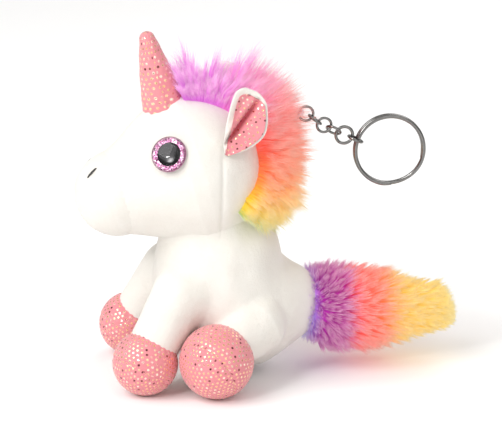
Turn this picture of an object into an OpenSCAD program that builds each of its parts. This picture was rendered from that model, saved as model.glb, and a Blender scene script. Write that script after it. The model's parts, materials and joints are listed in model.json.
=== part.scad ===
// Plush unicorn keychain: a stuffed toy with soft jointed limbs, a faux fur mane and tail,
// and a short chain with a split ring, hung from a loop sewn into the back of the head.
// It faces -Y, its left side is +X, and it rests on Z = 0.

/* [Head] */
// radius of the round back of the head
head_r = 25; // [24:0.5:26]
// radius of the muzzle
muzzle_r = 14.2; // [13.4:0.2:15]
// height of the horn above the forehead
horn_h = 26.2; // [22:0.2:28]
// radius of the horn where it is sewn on
horn_r = 7.2; // [6:0.2:8]
// width of the safety eye
eye_d = 11.8; // [10:0.2:12]
// length of an ear from its seam to its point
ear_len = 23; // [18:1:26]
// greatest width of an ear
ear_w = 14.6; // [12:0.2:16]

/* [Body] */
// radius of the belly at its fullest
belly_r = 22.5; // [21.5:0.5:23.5]
// thickness of the plush fabric with its pile
skin = 1.8; // [1.4:0.1:2.2]
// radius of the flat panel under the belly
panel_r = 12; // [10:0.5:14]

/* [Legs] */
// radius of a front hoof
front_hoof_r = 11; // [10:0.25:11]
// radius of a hind hoof
hind_hoof_r = 12.5; // [11:0.25:12.5]
// radius of a leg at the seam between leg and hoof
ankle_r = 8.8; // [8:0.2:9.2]

/* [Fur] */
// how far the mane stands out from the head
mane_h = 12; // [9:0.5:13]
// radius of the tail at its fullest
tail_r = 13; // [11:0.5:14]
// length of the tail from the rump to its point
tail_len = 52.4; // [44:0.2:54]

/* [Chain] */
// radius of a chain link, to the middle of its wire
link_r = 2.45; // [2.4:0.05:2.6]
// radius of the chain's wire
link_wire = 0.42; // [0.36:0.02:0.44]
// radius of the split ring, to the middle of its wire
ring_r = 11.8; // [10:0.2:14]
// radius of the split ring's wire
ring_wire = 0.7; // [0.6:0.02:0.7]

/* [Hidden] */
$fn = 48;
blob_fn = 24;
room_fn = 20;

// Colours
white_plush = [0.95, 0.94, 0.91];
pink_foil = [0.93, 0.55, 0.62];
violet = [0.72, 0.42, 0.86];
coral = [0.98, 0.55, 0.50];
fluff = [0.90, 0.90, 0.88];
steel = [0.62, 0.62, 0.64];

// Left and right
LEFT = 1;
RIGHT = -1;

// Clearance between pieces on different bodies, and between pieces that are fixed together
gap = 0.5;
fit = 0.05;

// Longer than anything it is cut with
beyond = 60;

// Head: spheres from the muzzle to the back of the head
skull = [0, -25, 71];
muzzle = [0, -50.4, 64.3];
muzzle_spread = 2.6;
head_steps = 8;
nod_limit = 10;

// Eyes, seated flat in the cover
eye_dir = [20, -10.4, 11.2] / norm([20, -10.4, 11.2]);
eye_seat = 0.75;
disc_t = 0.5;
pupil_t = 0.4;
pupil_r = 4;
dome_h = 3.2;
post_r = 1.5;
post_len = 8;
washer_r = 5.2;
washer_t = 1.2;
washer_drop = skin + 0.75;

// Nostril stitches
nostril_x = 5.2;
nostril_dir = [0, -10.3, 9.4] / norm([0, -10.3, 9.4]);
stitch_r = 0.5;
stitch_len = 4.6;

// Horn
horn_dir = [0, -6, 25.5] / norm([0, -6, 25.5]);
horn_base = [0, -34.4, 94.2];
horn_tip_r = 1.5;
horn_swell = 0.35;
horn_root = 4;
horn_skin = 1;
seam_depth = 1;

// Ears
ear_base = [23.2, -16, 81.5];
ear_tilt = [-20, -9, 0];
ear_foot = 3;
ear_roll = 1.2;
ear_t = 1.4;
lining_t = 0.8;
lining_inset = 0.78;

// Mane, as a band round the back of the head, in degrees up from straight back
mane_start = -33;
mane_end = 94;
mane_w = 9;
mane_ridge = 0.4;
mane_lap = 5;
mane_room = 30;
backing_t = 0.9;
backing_share = 1.2;

// Torso: [y, z, radius] from the neck to the rump
panel_t = 2;
spine = [
  [-16, 41.5, belly_r - 1.1], [-16.6, 37, belly_r - 0.9], [-16.4, 33, belly_r - 0.6],
  [-15, 28, belly_r - 0.2], [-13, 24, belly_r], [-11, 21.6, belly_r], [-8, 21.8, belly_r - 1.4],
  [-4, 22.6, belly_r - 3.8], [0.4, 23.4, belly_r - 6.3]
];

// Legs: [pivot, hoof centre, root radius, hoof radius, swing axis, swing limit]
front_leg = [[15, -31.5, 32], [21.5, -44, front_hoof_r], 10.2, front_hoof_r, [-1, 0, 0], 25];
hind_leg = [[16, -7, 21], [28.5, -21, hind_hoof_r], 11.6, hind_hoof_r, [0, 0, 1], 25];

// Tail
tail_pivot = [0, 13.5, 22];
tail_dir = [0, 50, -5] / norm([0, 50, -5]);
tail_root_r = 4.5;
tail_core = 0.45;
tail_skin = 0.9;
tail_socket_r = 12;
tail_socket_len = 9;

// Hanging loop: it leaves the back of the head in the middle seam
loop_end = [0, 12.8, 89.8];
loop_r = 1.7;
loop_wire = 0.5;

// Chain: [ring radius, wire radius, play, direction in degrees up from straight back, roll]
FACING_SIDE = 0;
EDGE_ON = 90;
play = 0.3;
ring_play = 0.6;
jump_r = 2.9;
jump_wire = 0.5;
end_r = 2.5;
end_wire = 0.45;
chain = [
  [loop_r, loop_wire, 0, -35, EDGE_ON],
  [link_r, link_wire, play, -35, FACING_SIDE],
  [link_r, link_wire, play, -35, EDGE_ON],
  [link_r, link_wire, play, -30, FACING_SIDE],
  [link_r, link_wire, play, -30, 60],
  [jump_r, jump_wire, play, -22, FACING_SIDE],
  [end_r, end_wire, play, -22, EDGE_ON],
  [ring_r, ring_wire, ring_play, -19, FACING_SIDE]
];

// Split ring: nearly two turns side by side, with one step across where they change over
coil_from = 35;
coil_to = 685;
coil_step = 10;
coil_pitch = 1.46;
coil_cross = [325, 395];
coil_turn = -52;
coil_sides = 8;

// Turns +Z towards a direction
module aim(dir) {
  rotate([0, acos(dir[2]), atan2(dir[1], dir[0])]) children();
}

// Turns the plane z = 0 into the plane x = 0, its x axis to +Y and its y axis to +Z
module sagittal() {
  rotate([90, 0, 90]) children();
}

function reversed(list) = [for (i = [len(list) - 1 : -1 : 0]) list[i]];

module sided(side) {
  if (side == LEFT) children();
  else mirror([1, 0, 0]) children();
}

// ---- Head ----

module head_blob(t, grow) {
  centre = muzzle + (skull - muzzle) * t;
  spread = muzzle_spread * (1 - t);
  for (x = [-spread, spread])
    translate(centre + [x, 0, 0]) sphere(r = muzzle_r + (head_r - muzzle_r) * t + grow, $fn = blob_fn);
}

module head_shape(grow) {
  for (i = [0 : head_steps - 1])
    hull() {
      head_blob(i / head_steps, grow);
      head_blob((i + 1) / head_steps, grow);
    }
}

module at_eye(side) {
  sided(side) translate(skull + eye_dir * head_r) aim(eye_dir) children();
}

// Recess, post hole and washer space of one eye
module eye_cut(side, clear) {
  at_eye(side) {
    translate([0, 0, -eye_seat]) cylinder(h = 5, r = eye_d / 2 + clear);
    translate([0, 0, -eye_seat - post_len - clear]) cylinder(h = post_len + 1, r = post_r + clear);
    translate([0, 0, -washer_drop - washer_t - clear])
      cylinder(h = washer_t + 2 * clear, r = washer_r + clear);
  }
}

module head_cover() {
  color(white_plush)
    difference() {
      head_shape(0);
      head_shape(-skin);
      for (side = [LEFT, RIGHT]) eye_cut(side, fit);
    }
}

module head_filling() {
  color(fluff)
    difference() {
      head_shape(-skin);
      for (side = [LEFT, RIGHT]) eye_cut(side, fit);
    }
}

// ---- Eyes ----

module eye_dome(side) {
  dome_r = (pow(eye_d / 2, 2) + pow(dome_h, 2)) / (2 * dome_h);
  color(steel)
    at_eye(side)
      translate([0, 0, disc_t - eye_seat])
        difference() {
          intersection() {
            translate([0, 0, dome_h - dome_r]) sphere(r = dome_r);
            cylinder(h = dome_h + 1, r = eye_d / 2 + 1);
          }
          translate([0, 0, -1]) cylinder(h = 1 + pupil_t, r = pupil_r);
        }
}

module eye_pupil(side) {
  color("black")
    at_eye(side) translate([0, 0, disc_t - eye_seat]) cylinder(h = pupil_t, r = pupil_r);
}

module eye_glitter_disc(side) {
  color(violet)
    at_eye(side) translate([0, 0, -eye_seat]) cylinder(h = disc_t, r = eye_d / 2);
}

module eye_post(side) {
  color(steel)
    at_eye(side) translate([0, 0, -eye_seat - post_len]) cylinder(h = post_len, r = post_r);
}

module eye_washer(side) {
  color(steel)
    at_eye(side)
      translate([0, 0, -washer_drop - washer_t])
        difference() {
          cylinder(h = washer_t, r = washer_r);
          translate([0, 0, -1]) cylinder(h = washer_t + 2, r = post_r);
        }
}

// ---- Face and horn ----

module nostril_stitch(side) {
  along = [0, -nostril_dir[2], nostril_dir[1]];
  color("black")
    sided(side)
      translate([nostril_x, muzzle[1], muzzle[2]] + nostril_dir * (muzzle_r - stitch_r / 2))
        aim(-along) cylinder(h = stitch_len, r = stitch_r, center = true);
}

// Radius of the horn's outside, from 0 at its base to 1 at its tip
function horn_at(t) = horn_r + (horn_tip_r - horn_r) * t + horn_swell * sin(180 * t);

function horn_outline(from, inset) = concat(
  [[horn_r - inset, from]],
  [for (t = [0 : 0.1 : 0.95]) [horn_at(t) - inset, t * (horn_h - horn_tip_r)]],
  [for (a = [0 : 22.5 : 67.5])
    [(horn_tip_r - inset) * cos(a), horn_h - horn_tip_r + (horn_tip_r - inset) * sin(a)]],
  [[0, horn_h - inset]]
);

module horn_cover() {
  color(pink_foil)
    difference() {
      translate(horn_base) aim(horn_dir) rotate_extrude()
        difference() {
          polygon(concat([[0, -horn_root]], horn_outline(-horn_root, 0)));
          polygon(concat(
            [[-1, -horn_root - 1]], horn_outline(-horn_root - 1, horn_skin), [[-1, horn_h - horn_skin]]));
        }
      translate(skull) sphere(r = head_r - seam_depth);
    }
}

module horn_filling() {
  color(fluff)
    difference() {
      translate(horn_base) aim(horn_dir) rotate_extrude()
        polygon(concat([[0, -horn_root]], horn_outline(-horn_root, horn_skin)));
      translate(skull) sphere(r = head_r + fit);
    }
}

// ---- Ears ----

function ear_half(t) = ear_foot * (1 - t) + (ear_w - ear_foot) / 2 * pow(sin(180 * t), 0.9);

module ear_leaf(scale_by) {
  steps = 14;
  left = [for (i = [0 : steps]) [-ear_half(i / steps) * scale_by, ear_len * i / steps * scale_by]];
  right = [for (i = [steps - 1 : -1 : 0])
    [ear_half(i / steps) * scale_by, ear_len * i / steps * scale_by]];
  polygon(concat(left, right));
}

module at_ear(side) {
  sided(side) translate(ear_base) rotate(ear_tilt) sagittal() children();
}

module ear_outer(side) {
  color(white_plush)
    at_ear(side) {
      translate([0, 0, -ear_t / 2]) linear_extrude(ear_t) ear_leaf(1);
      rotate([0, 90, 0]) cylinder(h = 2 * ear_foot, r = ear_roll, center = true);
    }
}

module ear_lining(side) {
  color(pink_foil)
    at_ear(side)
      translate([0, ear_len * (1 - lining_inset) / 2, ear_t / 2])
        linear_extrude(lining_t) ear_leaf(lining_inset);
}

// ---- Mane ----

// Sweeps a profile, given as [distance from the skull's centre, sideways], round the head
module mane_band(from, to) {
  translate(skull) sagittal() rotate([0, 0, from]) rotate_extrude(angle = to - from) children();
}

module mane_profile(grow) {
  low = head_r + backing_t - grow;
  high = head_r + mane_h + grow;
  foot = mane_w + grow;
  ridge = mane_w * mane_ridge + grow;
  half = [
    [low, foot], [(low + high) / 2, foot * 0.7 + ridge / 2], [high - ridge * 0.4, ridge],
    [high, ridge / 2]
  ];
  polygon(concat(half, [for (p = reversed(half)) [p[0], -p[1]]]));
}

module backing_profile(grow) {
  width = mane_w * backing_share + 2 * grow;
  translate([head_r + fit - grow, -width / 2]) square([backing_t - fit + 2 * grow, width]);
}

module mane_backing() {
  color(violet) mane_band(mane_start, mane_end) backing_profile(0);
}

module mane_pile() {
  color(coral) mane_band(mane_start, mane_end) mane_profile(0);
}

// ---- Hanging loop and chain ----

module torus(r, wire) {
  rotate_extrude() translate([r, 0]) circle(r = wire);
}

function chain_dir(k) = [0, cos(chain[k][3]), sin(chain[k][3])];

// Where link k is held: the middle of the wire that it hangs on
function chain_hold(k) = chain_centre(k - 1) + chain_dir(k - 1) * chain[k - 1][0];

function chain_centre(k) = k == 0
  ? loop_end - chain_dir(0) * loop_r
  : chain_hold(k) + chain_dir(k) * (chain[k][0] - chain[k - 1][1] - chain[k][1] - chain[k][2]);

// A ring lies in the middle plane, turned about the chain's own direction by its roll
module at_link(k) {
  translate(chain_centre(k)) sagittal() rotate([0, 0, chain[k][3]]) rotate([chain[k][4], 0, 0]) children();
}

module chain_ring(k) {
  color(steel) at_link(k) torus(chain[k][0], chain[k][1]);
}

// The loop is bent over at its end, and its two strands run back to the head's seam
module hanging_loop() {
  out = loop_end - skull;
  reach = norm(out) - loop_r;
  color(violet)
    translate(skull) aim(out / norm(out)) {
      translate([0, 0, reach]) sagittal() loop_bend();
      for (y = [-loop_r, loop_r])
        translate([0, y, head_r - seam_depth])
          cylinder(h = reach - head_r + seam_depth, r = loop_wire);
    }
}

// Half a ring in the plane z = 0, on the side of +Y
module loop_bend() {
  rotate_extrude(angle = 180) translate([loop_r, 0]) circle(r = loop_wire);
}

function coil_side(a) = a < coil_cross[0] ? -1
  : a > coil_cross[1] ? 1
  : -cos(180 * (a - coil_cross[0]) / (coil_cross[1] - coil_cross[0]));

function coil_point(a, s) =
  let (out = ring_r + ring_wire * cos(360 * s / coil_sides))
  [out * cos(a), out * sin(a), coil_side(a) * coil_pitch / 2 + ring_wire * sin(360 * s / coil_sides)];

module split_ring() {
  turns = [coil_from : coil_step : coil_to];
  points = [for (a = turns) for (s = [0 : coil_sides - 1]) coil_point(a, s)];
  rings = len(points) / coil_sides;
  walls = [for (i = [0 : rings - 2]) for (s = [0 : coil_sides - 1])
    let (next = (s + 1) % coil_sides, low = i * coil_sides, high = low + coil_sides)
    [low + s, low + next, high + next, high + s]];
  first = [[for (s = [coil_sides - 1 : -1 : 0]) s]];
  last = [[for (s = [0 : coil_sides - 1]) (rings - 1) * coil_sides + s]];
  color(steel)
    at_link(7) rotate([0, 0, coil_turn - chain[7][3]])
      polyhedron(points = points, faces = concat(first, walls, last), convexity = 6);
}

// ---- Torso ----

module spine_blob(s, grow) {
  translate([0, s[0], s[1]]) sphere(r = s[2] + grow, $fn = blob_fn);
}

module torso_shape(grow) {
  for (i = [0 : len(spine) - 2])
    hull() {
      spine_blob(spine[i], grow);
      spine_blob(spine[i + 1], grow);
    }
}

// The room a leg takes over its whole swing
module leg_room(leg, grow) {
  translate(leg[0])
    hull() {
      sphere(r = leg[2] + grow, $fn = room_fn);
      for (a = [0, leg[5]])
        rotate(a = a, v = leg[4])
          translate(leg[1] - leg[0]) sphere(r = leg[3] + grow, $fn = room_fn);
    }
}

module limb_rooms(grow) {
  for (side = [LEFT, RIGHT])
    sided(side) {
      leg_room(front_leg, grow);
      leg_room(hind_leg, grow);
    }
}

module tail_room(grow) {
  translate(tail_pivot) {
    sphere(r = tail_root_r + grow);
    aim(tail_dir) cylinder(h = tail_socket_len, r1 = tail_root_r + grow, r2 = tail_socket_r + grow);
  }
}

// The room the head and mane take as the head nods
module head_room() {
  hull() {
    head_blob(1, gap);
    for (a = [-nod_limit, nod_limit])
      translate(skull) rotate([a, 0, 0]) translate(-skull) head_blob(0, gap);
  }
  mane_band(mane_start - nod_limit - mane_lap, mane_start + mane_room) {
    mane_profile(gap);
    backing_profile(gap);
  }
}

module below_panel() {
  translate([-beyond, -beyond, panel_t - beyond]) cube([2 * beyond, 2 * beyond, beyond]);
}

module torso_inside() {
  difference() {
    torso_shape(-skin);
    limb_rooms(gap + skin);
    tail_room(gap + skin);
  }
}

module torso_cover() {
  color(white_plush)
    difference() {
      torso_shape(0);
      limb_rooms(gap);
      tail_room(gap);
      head_room();
      below_panel();
      torso_inside();
    }
}

module torso_filling() {
  color(fluff)
    difference() {
      torso_inside();
      head_room();
      below_panel();
    }
}

module belly_panel() {
  color(white_plush) translate([0, spine[4][0], 0]) cylinder(h = panel_t, r = panel_r);
}

// ---- Legs ----

// Outline of a leg from its root to the seam above the hoof
function leg_outline(leg, inset) = let (ankle = ankle_height(leg)) concat(
  [for (a = [-90 : 15 : 60]) [(leg[2] - inset) * cos(a), (leg[2] - inset) * sin(a)]],
  [[ankle_r - inset, ankle]]
);

// Outline of the hoof from that seam to its end
function hoof_outline(leg, inset) =
  let (len = norm(leg[1] - leg[0]), low = -acos(ankle_r / leg[3])) concat(
    [[ankle_r - inset, ankle_height(leg)]],
    [for (i = [1 : 8])
      let (a = low + (90 - low) * i / 8)
      [(leg[3] - inset) * cos(a), len + (leg[3] - inset) * sin(a)]]
  );

function ankle_height(leg) = norm(leg[1] - leg[0]) - leg[3] * sin(acos(ankle_r / leg[3]));

module at_leg(leg, side) {
  reach = leg[1] - leg[0];
  sided(side) translate(leg[0]) aim(reach / norm(reach)) rotate_extrude() children();
}

module leg_cover(leg, side) {
  color(white_plush)
    at_leg(leg, side) polygon(concat(leg_outline(leg, 0), reversed(leg_outline(leg, skin))));
}

module hoof_cover(leg, side) {
  color(pink_foil)
    at_leg(leg, side) polygon(concat(hoof_outline(leg, 0), reversed(hoof_outline(leg, skin))));
}

module leg_filling(leg, side) {
  inside = hoof_outline(leg, skin);
  color(fluff)
    at_leg(leg, side)
      polygon(concat(leg_outline(leg, skin), [for (i = [1 : len(inside) - 1]) inside[i]]));
}

// ---- Tail ----

// Outline of the tail, from the ball at its root to its point, scaled across by k and less an inset
function tail_outline(k, inset) = concat(
  [for (a = [-90 : 22.5 : 45]) [(tail_root_r - inset) * cos(a), (tail_root_r - inset) * sin(a)]],
  [for (t = [0.12 : 0.08 : 0.92])
    [max(tail_root_r * 0.75, tail_half(t) * k) - inset, tail_len * t]],
  [[0, tail_len * 0.98 - inset]]
);

function tail_half(t) = tail_r * (t < 0.28 ? sin(90 * t / 0.28) : 1 - 0.62 * pow((t - 0.28) / 0.72, 1.4));

module at_tail() {
  translate(tail_pivot) aim(tail_dir) rotate_extrude() children();
}

module tail_pile() {
  color(coral)
    at_tail()
      difference() {
        polygon(tail_outline(1, 0));
        polygon(concat([[-1, -20]], tail_outline(tail_core, 0), [[-1, tail_len * 0.98]]));
      }
}

module tail_backing() {
  color(violet)
    at_tail() polygon(concat(tail_outline(tail_core, 0), reversed(tail_outline(tail_core, tail_skin))));
}

module tail_filling() {
  color(fluff) at_tail() polygon(tail_outline(tail_core, tail_skin));
}

// ---- What is drawn ----

torso_cover();
belly_panel();
torso_filling();
head_cover();
head_filling();
horn_cover();
horn_filling();
nostril_stitch(LEFT);  // left_nostril_stitch
nostril_stitch(RIGHT);  // right_nostril_stitch
eye_dome(LEFT);  // left_eye_dome
eye_pupil(LEFT);  // left_eye_pupil
eye_glitter_disc(LEFT);  // left_eye_glitter_disc
eye_post(LEFT);  // left_eye_post
eye_washer(LEFT);  // left_eye_washer
eye_dome(RIGHT);  // right_eye_dome
eye_pupil(RIGHT);  // right_eye_pupil
eye_glitter_disc(RIGHT);  // right_eye_glitter_disc
eye_post(RIGHT);  // right_eye_post
eye_washer(RIGHT);  // right_eye_washer
ear_outer(LEFT);  // left_ear_outer
ear_lining(LEFT);  // left_ear_lining
ear_outer(RIGHT);  // right_ear_outer
ear_lining(RIGHT);  // right_ear_lining
mane_backing();
mane_pile();
hanging_loop();
leg_cover(front_leg, LEFT);  // front_left_leg_cover
hoof_cover(front_leg, LEFT);  // front_left_hoof_cover
leg_filling(front_leg, LEFT);  // front_left_leg_filling
leg_cover(front_leg, RIGHT);  // front_right_leg_cover
hoof_cover(front_leg, RIGHT);  // front_right_hoof_cover
leg_filling(front_leg, RIGHT);  // front_right_leg_filling
leg_cover(hind_leg, LEFT);  // hind_left_leg_cover
hoof_cover(hind_leg, LEFT);  // hind_left_hoof_cover
leg_filling(hind_leg, LEFT);  // hind_left_leg_filling
leg_cover(hind_leg, RIGHT);  // hind_right_leg_cover
hoof_cover(hind_leg, RIGHT);  // hind_right_hoof_cover
leg_filling(hind_leg, RIGHT);  // hind_right_leg_filling
tail_backing();
tail_pile();
tail_filling();
chain_ring(1);  // chain_link_1
chain_ring(2);  // chain_link_2
chain_ring(3);  // chain_link_3
chain_ring(4);  // chain_link_4
chain_ring(5);  // jump_ring
chain_ring(6);  // end_link
split_ring();
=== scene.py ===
"""The looks of a plush unicorn keychain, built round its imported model.

Lengths are in millimetres until a piece is made, in the model's own frame: the unicorn faces -Y,
its left side is +X and it rests on Z = 0.
"""

import json
import math

import bmesh
import bpy
import numpy as np
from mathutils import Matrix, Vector


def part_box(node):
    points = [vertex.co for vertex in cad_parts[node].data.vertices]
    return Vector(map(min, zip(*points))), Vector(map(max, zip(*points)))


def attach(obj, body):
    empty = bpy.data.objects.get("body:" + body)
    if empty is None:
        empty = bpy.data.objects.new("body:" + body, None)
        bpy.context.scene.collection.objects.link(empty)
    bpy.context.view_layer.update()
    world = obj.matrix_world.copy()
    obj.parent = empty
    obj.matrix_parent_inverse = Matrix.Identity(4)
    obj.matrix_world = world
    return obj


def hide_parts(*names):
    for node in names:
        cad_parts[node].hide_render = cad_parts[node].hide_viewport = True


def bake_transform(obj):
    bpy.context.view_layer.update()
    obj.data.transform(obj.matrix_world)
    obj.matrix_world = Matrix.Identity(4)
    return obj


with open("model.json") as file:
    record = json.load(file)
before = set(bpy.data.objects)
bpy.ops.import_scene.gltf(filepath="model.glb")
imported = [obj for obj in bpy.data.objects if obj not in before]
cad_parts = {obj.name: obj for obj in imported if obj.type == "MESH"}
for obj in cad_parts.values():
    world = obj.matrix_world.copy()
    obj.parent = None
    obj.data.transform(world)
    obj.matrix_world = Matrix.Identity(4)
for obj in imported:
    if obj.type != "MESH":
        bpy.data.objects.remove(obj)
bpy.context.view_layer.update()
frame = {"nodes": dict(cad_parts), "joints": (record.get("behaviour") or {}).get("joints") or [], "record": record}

MM = 0.001
LEFT, RIGHT = 1, -1


# ---- Places taken from the frame ----

def joint_point(name):
    joint = next(j for j in frame["joints"] if j["name"] == name)
    return np.array(joint["pos_m"]) / MM


def box_of(node):
    low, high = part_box(node)
    return np.array(low) / MM, np.array(high) / MM


def middle(node):
    low, high = box_of(node)
    return (low + high) / 2


def unit(vector):
    vector = np.asarray(vector, float)
    return vector / np.linalg.norm(vector, axis=-1, keepdims=True)


def through(x, places, values):
    """A smooth curve through a few given values."""
    places, values = np.asarray(places, float), np.asarray(values, float)
    slopes = np.gradient(values, places)
    x = np.clip(x, places[0], places[-1])
    i = np.clip(np.searchsorted(places, x) - 1, 0, len(places) - 2)
    width = places[i + 1] - places[i]
    t = (x - places[i]) / width
    start = values[i] * (1 + 2 * t) * (1 - t) ** 2 + slopes[i] * width * t * (1 - t) ** 2
    end = values[i + 1] * t**2 * (3 - 2 * t) - slopes[i + 1] * width * t**2 * (1 - t)
    return start + end


def mirrored(point, side):
    return np.array([point[0] * side, point[1], point[2]])


def side_word(side):
    return "left" if side == LEFT else "right"


# The skull is a ball, and the muzzle a smaller one in front of it, widened to both sides
SKULL = joint_point("neck_nod")
HEAD_R = 25.0
MUZZLE = np.array([0, -50.4, 64.3])
MUZZLE_R = 14.2
MUZZLE_SPREAD = 2.6

TAIL_ROOT = joint_point("tail_wag")
HORN_BASE = np.array([0, -34.4, 94.2])
HORN_HEADING = unit([0, -6, 25.5])
HORN_HEIGHT = 25.6
HORN_BASE_R, HORN_TIP_R = 7.2, 2.0

# The trunk, from the neck to the rump: [y, z, radius]
TRUNK = [
    (-16, 41, 20.8), (-16, 33, 21.4), (-14, 27, 21.6), (-11, 23.2, 21.4), (-5.5, 22.6, 18.8),
    (0.5, 23.4, 15.6),
]

# Each kind of leg: root radius, hoof centre, hoof radius, how far past the centre the sole's seam
# lies as a share of that radius, how softly the leg joins the trunk, how far from the pivot it
# starts, and the stretch beyond its rim over which its cloth bends
ANKLE_R = 8.8
LEGS = {
    "front": {
        "root": 9.6, "hoof": (21.5, -44, 11), "hoof_r": 11.0, "sole": 0.3,
        "soft": 5.0, "from": 1.5, "fold": (6.3, 11.0),
    },
    "hind": {
        "root": 11.4, "hoof": (28.5, -21, 12.5), "hoof_r": 12.5, "sole": 0.42,
        "soft": 2.6, "from": 1.0, "fold": (5.0, 9.5),
    },
}

# A hoof is pressed flat below this height, and its sole is cut from another part of the cloth
HOOF_REST = 0.35
SOLE_SHIFT = 40


# ---- Soft shapes: fields that are negative inside ----

def length(vectors):
    return np.sqrt(np.einsum("...i,...i->...", vectors, vectors))


def ball(p, centre, radius):
    return length(p - np.asarray(centre, float)) - radius


def taper(p, a, b, radius_a, radius_b):
    """A rounded cone from a to b."""
    a, b = np.asarray(a, float), np.asarray(b, float)
    along = b - a
    t = np.clip((p - a) @ along / (along @ along), 0, 1)
    return length(p - a - t[..., None] * along) - (radius_a + (radius_b - radius_a) * t)


def melt(d, e, soft):
    """Both shapes, joined with a fillet."""
    h = np.clip(0.5 + (e - d) / (2 * soft), 0, 1)
    return e + (d - e) * h - soft * h * (1 - h)


def carve(d, e, soft):
    """The first shape less the second, with a rounded edge."""
    return -melt(-d, e, soft)


def groove(offset, depth, width):
    """A soft dent: full depth where the offset is 0, and fading over the width."""
    return depth * np.exp(-((offset / width) ** 2))


def rounded(share, start):
    """Closes a shape with a round end: 1 up to the start, falling to 0 at a share of 1."""
    return math.sqrt(max(0.0, 1 - max(0.0, (share - start) / (1 - start)) ** 2))


def waves(p, seed, size):
    """Smooth low noise from -1 to 1, in lumps of about that size."""
    rng = np.random.default_rng(seed)
    total = np.zeros(p.shape[:-1])
    for _ in range(6):
        wave = unit(rng.normal(size=3)) * 2 * math.pi / (size * rng.uniform(0.8, 1.5))
        total += np.sin(p @ wave + rng.uniform(0, 2 * math.pi))
    return total / 3


CORNERS = np.array([(x, y, z) for x in (0, 1) for y in (0, 1) for z in (0, 1)])
EDGES = [
    (a, b) for a in CORNERS for b in CORNERS
    if (b - a).sum() == 1 and (b >= a).all()
]


def surface(field, low, high, step):
    """Points and quads of the field's surface, on a grid of cubes, settled onto the surface."""
    low = np.asarray(low, float)
    count = np.ceil((np.asarray(high) - low) / step).astype(int) + 1
    axes = [low[i] + step * np.arange(count[i]) for i in range(3)]
    value = field(np.stack(np.meshgrid(*axes, indexing="ij"), -1))
    inside = value < 0
    held = sum(
        inside[x:count[0] - 1 + x, y:count[1] - 1 + y, z:count[2] - 1 + z].astype(int)
        for x, y, z in CORNERS
    )
    crossed = (held > 0) & (held < 8)
    cells = np.argwhere(crossed)
    number = np.full(crossed.shape, -1)
    number[crossed] = np.arange(len(cells))

    points, hits = np.zeros((len(cells), 3)), np.zeros(len(cells))
    for a, b in EDGES:
        at_a, at_b = value[tuple((cells + a).T)], value[tuple((cells + b).T)]
        hit = (at_a < 0) != (at_b < 0)
        t = np.where(hit, at_a / np.where(hit, at_a - at_b, 1), 0)
        points += hit[:, None] * (a + (b - a) * t[:, None])
        hits += hit
    points = low + step * (cells + points / hits[:, None])

    quads = []
    for i in range(3):
        j, k = (i + 1) % 3, (i + 2) % 3
        near = inside.take(range(count[i] - 1), axis=i)
        far = inside.take(range(1, count[i]), axis=i)
        at = np.argwhere(near != far)
        at = at[(at[:, [j, k]] > 0).all(1) & (at[:, j] < count[j] - 1) & (at[:, k] < count[k] - 1)]
        step_j, step_k = np.eye(3, dtype=int)[j], np.eye(3, dtype=int)[k]
        corners = [at, at - step_j, at - step_j - step_k, at - step_k]
        quad = np.stack([number[tuple(c.T)] for c in corners], 1)
        turned = far[tuple(at.T)]
        quad[turned] = quad[turned][:, ::-1]
        quads.append(quad)
    for _ in range(3):
        slope = gradient(field, points)
        points = points - (field(points) / (slope**2).sum(1))[:, None] * slope
    return points, np.concatenate(quads)


def gradient(field, points, reach=0.05):
    steps = reach * np.eye(3)
    return np.stack([field(points + s) - field(points - s) for s in steps], -1) / (2 * reach)


def kept(quads, points, keep, hubs):
    """The quads whose centre is to be kept, and each rim closed by triangles to the nearest hub."""
    quads = quads[keep(points[quads].mean(1))]
    sides = {(q[i], q[(i + 1) % 4]) for q in quads.tolist() for i in range(4)}
    rim = sorted((b, a) for a, b in sides if (b, a) not in sides)
    nearest = length(points[[a for a, _ in rim]][:, None] - hubs).argmin(1)
    caps = [(a, b, len(points) + hub) for (a, b), hub in zip(rim, nearest.tolist())]
    return np.vstack([points, hubs]), quads.tolist() + caps, points[[a for a, _ in rim]]


# ---- Making pieces ----

def piece(name, points, faces, material, slot, normals=None, cloth=None):
    """A mesh object from points in millimetres. cloth gives each point's place on flat cloth."""
    points = np.asarray(points, float)
    used = np.zeros(len(points), bool)
    used[np.concatenate([np.ravel(f) for f in faces])] = True
    fresh = np.cumsum(used) - 1
    mesh = bpy.data.meshes.new(name)
    mesh.from_pydata((points[used] * MM).tolist(), [], [[int(fresh[i]) for i in f] for f in faces])
    mesh.polygons.foreach_set("use_smooth", np.ones(len(mesh.polygons), bool))
    mesh.materials.append(material)
    mesh.update()
    if cloth is not None:
        layer = mesh.uv_layers.new(name="cloth")
        corners = np.zeros(len(mesh.loops), int)
        mesh.loops.foreach_get("vertex_index", corners)
        layer.data.foreach_set("uv", (cloth[used][corners] * MM).astype(np.float32).ravel())
    if normals is not None:
        mesh.normals_split_custom_set_from_vertices(normals[used].tolist())
    made = bpy.data.objects.new(name, mesh)
    bpy.context.scene.collection.objects.link(made)
    return made


def point_values(made, **layers):
    """Numbers that a material reads at each point of a piece."""
    for name, values in layers.items():
        attribute = made.data.attributes.new(name, "FLOAT", "POINT")
        attribute.data.foreach_set("value", np.asarray(values, np.float32))


def grid_faces(rows, columns, closed=True):
    """Quads between rows of points, each row a ring if closed."""
    quads_in_row = columns if closed else columns - 1
    return [
        (r * columns + c, r * columns + (c + 1) % columns,
         (r + 1) * columns + (c + 1) % columns, (r + 1) * columns + c)
        for r in range(rows - 1) for c in range(quads_in_row)
    ]


def both_sides(quads, count):
    """The quads, and the same ones facing the other way on points that come count later."""
    return quads + [tuple(count + i for i in q[::-1]) for q in quads]


def end_faces(rows, columns):
    """One polygon over the first ring of points and one over the last."""
    last = (rows - 1) * columns
    return [tuple(range(columns))[::-1], tuple(range(last, last + columns))]


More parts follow.
